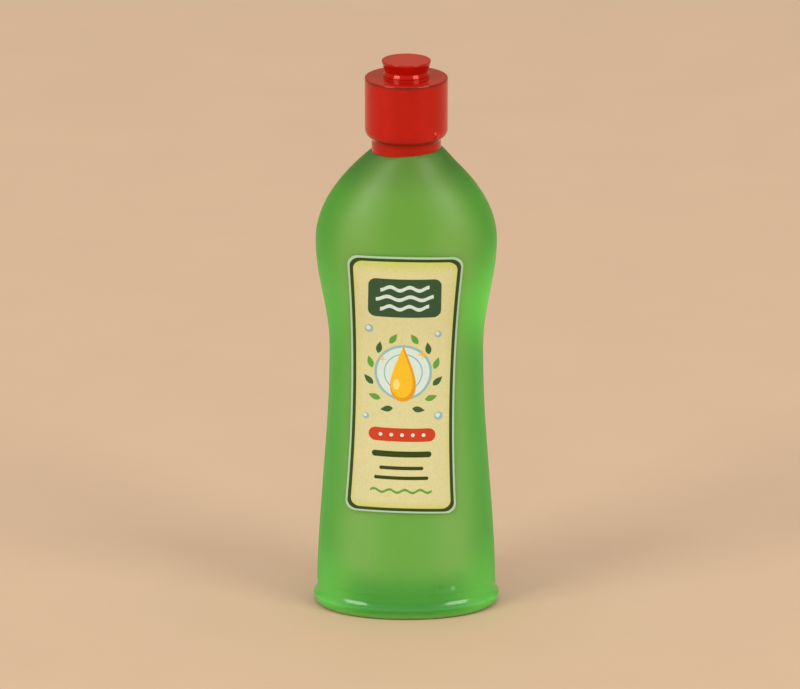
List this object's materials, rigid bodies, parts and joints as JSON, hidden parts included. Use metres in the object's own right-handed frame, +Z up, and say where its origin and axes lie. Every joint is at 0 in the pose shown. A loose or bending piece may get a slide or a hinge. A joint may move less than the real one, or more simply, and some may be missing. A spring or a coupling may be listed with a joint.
{
  "type": "dollhouse miniature dish soap bottle",
  "caption": "Miniature dish-soap bottle for a doll's house: waisted oval body cast solid in clear green, round red pull-top cap glued on the neck, printed front sticker.",
  "frame": {"origin": "middle of the base, on the surface that the bottle stands on", "axes": "+Z up along the bottle, +X across its wide side to the right of the label, the label faces -Y"},
  "size_m": [0.0074, 0.0052, 0.0221],
  "materials": {
    "green_resin": "clear tinted casting, slightly cloudy, glossy skin",
    "red_plastic": "opaque, satin gloss",
    "label_paper": "printed paper sticker, satin"
  },
  "bodies": {
    "root": {"bottle": "green_resin", "cap": "red_plastic", "label": "label_paper"}
  },
  "joints": []
}
